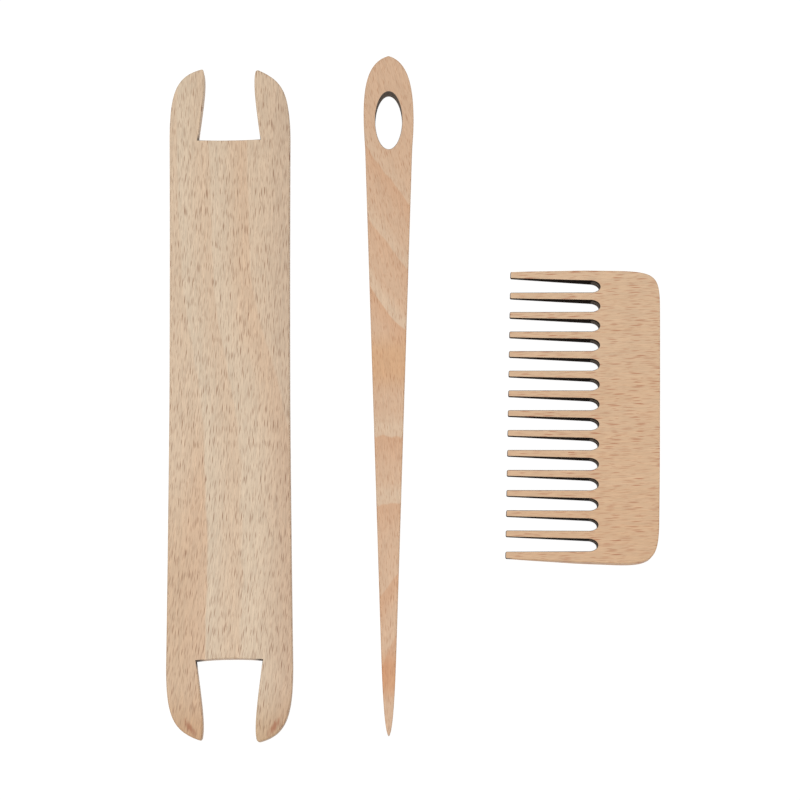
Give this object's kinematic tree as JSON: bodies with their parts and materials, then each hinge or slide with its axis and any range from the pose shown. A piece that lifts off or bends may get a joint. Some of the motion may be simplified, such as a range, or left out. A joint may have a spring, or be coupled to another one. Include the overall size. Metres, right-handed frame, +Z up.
{
  "type": "tapestry weaving tool set",
  "caption": "Beech hand tools for tapestry weaving: a notched stick shuttle, a flat weaving needle with an eye, and a weaving comb that beats the rows together.",
  "frame": {"origin": "middle of the space the three tools take up on the table, at table height", "axes": "+Z up from the table, +Y along the shuttle and the needle towards the needle's eye, +X from the shuttle to the comb"},
  "size_m": [0.1451, 0.204, 0.0046],
  "materials": {
    "shuttle_beech": "pale beech, sanded smooth and lightly oiled",
    "needle_beech": "warm beech, sanded smooth, laser-browned inside the eye",
    "comb_beech": "warm beech, sanded smooth, laser-browned between the teeth"
  },
  "bodies": {
    "shuttle": {"stick_shuttle": "shuttle_beech"},
    "needle": {"weaving_needle": "needle_beech"},
    "comb": {"weaving_comb": "comb_beech"}
  },
  "joints": [
    {"name": "needle_lift", "type": "slide", "parent": "shuttle", "child": "needle", "axis": [0, 0, 1], "range_m": [0, 0.06]},
    {"name": "comb_lift", "type": "slide", "parent": "shuttle", "child": "comb", "axis": [0, 0, 1], "range_m": [0, 0.06]}
  ]
}
